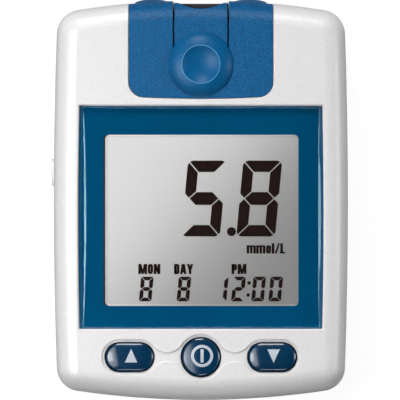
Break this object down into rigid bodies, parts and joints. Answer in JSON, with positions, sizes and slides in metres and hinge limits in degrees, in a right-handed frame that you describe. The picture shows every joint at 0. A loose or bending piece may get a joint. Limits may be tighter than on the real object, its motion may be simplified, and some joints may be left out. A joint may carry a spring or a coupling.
{
  "type": "blood glucose meter",
  "caption": "Hand-held blood glucose meter with a lens-covered display, three keys, a strip port with a slide ejector and a battery bay.",
  "frame": {"origin": "centre of the case outline, on the flat of the back", "axes": "+X right seen from the front, +Y towards the strip port, +Z out of the display"},
  "size_m": [0.0645, 0.0873, 0.0227],
  "materials": {
    "case": "fine satin moulding",
    "blue_cover": "fine spark-eroded grain",
    "blue_knob": "smooth satin",
    "spring_steel": "drawn",
    "black_port": "matt",
    "gold_contact": "plated",
    "clear_lens": "polished acrylic",
    "printed_film": "printed blue",
    "tape": "black foam tape",
    "polariser": "grey film",
    "lcd_glass": "polished",
    "zebra_rubber": "matt",
    "silicone": "matt",
    "key_plastic": "glossy",
    "carbon": "matt",
    "cell_jacket": "plain film",
    "board": "solder mask",
    "component": "plain",
    "screw_steel": "zinc plated"
  },
  "bodies": {
    "case": {"front_case": "case", "rear_case": "case", "top_cover": "blue_cover", "port_insert": "black_port", "strip_connector": "black_port", "strip_contacts": "gold_contact", "ejector_springs": "spring_steel", "display_lens": "clear_lens", "lens_mask": "printed_film", "lens_adhesive": "tape", "lcd_front_polariser": "polariser", "lcd_front_glass": "lcd_glass", "lcd_rear_glass": "lcd_glass", "lcd_rear_polariser": "polariser", "zebra_strips": "zebra_rubber", "keypad_mat": "silicone", "up_dome": "silicone", "power_dome": "silicone", "down_dome": "silicone", "side_switch": "black_port", "battery_1": "cell_jacket", "battery_2": "cell_jacket", "battery_springs": "spring_steel", "battery_plates": "spring_steel", "main_pcb": "board", "microcontroller": "black_port", "pcb_components": "component", "buzzer": "black_port", "case_screws": "screw_steel", "pcb_screws": "screw_steel"},
    "ejector": {"ejector_slide": "blue_cover", "ejector_knob": "blue_knob"},
    "up_button": {"up_key": "key_plastic", "up_plunger": "silicone", "up_carbon_pill": "carbon"},
    "power_button": {"power_key": "key_plastic", "power_plunger": "silicone", "power_carbon_pill": "carbon"},
    "down_button": {"down_key": "key_plastic", "down_plunger": "silicone", "down_carbon_pill": "carbon"},
    "side_button": {"side_key": "case", "side_actuator": "spring_steel"},
    "door": {"battery_door": "case"}
  },
  "joints": [
    {"name": "ejector_push", "type": "slide", "parent": "case", "child": "ejector", "axis": [0, 1, 0], "range_m": [0, 0.0045], "stiffness_N_per_m": 300, "springref_m": -0.002, "deforming": ["ejector_springs"]},
    {"name": "up_key_press", "type": "slide", "parent": "case", "child": "up_button", "axis": [0, 0, -1], "range_m": [0, 0.0006], "stiffness_N_per_m": 800, "springref_m": -0.0005, "deforming": ["up_dome"]},
    {"name": "power_key_press", "type": "slide", "parent": "case", "child": "power_button", "axis": [0, 0, -1], "range_m": [0, 0.0006], "stiffness_N_per_m": 800, "springref_m": -0.0005, "deforming": ["power_dome"]},
    {"name": "down_key_press", "type": "slide", "parent": "case", "child": "down_button", "axis": [0, 0, -1], "range_m": [0, 0.0006], "stiffness_N_per_m": 800, "springref_m": -0.0005, "deforming": ["down_dome"]},
    {"name": "side_key_press", "type": "slide", "parent": "case", "child": "side_button", "axis": [1, 0, 0], "range_m": [0, 0.0005], "stiffness_N_per_m": 800, "springref_m": -0.0005},
    {"name": "battery_door_slide", "type": "slide", "parent": "case", "child": "door", "axis": [0, -1, 0], "range_m": [0, 0.062]}
  ]
}
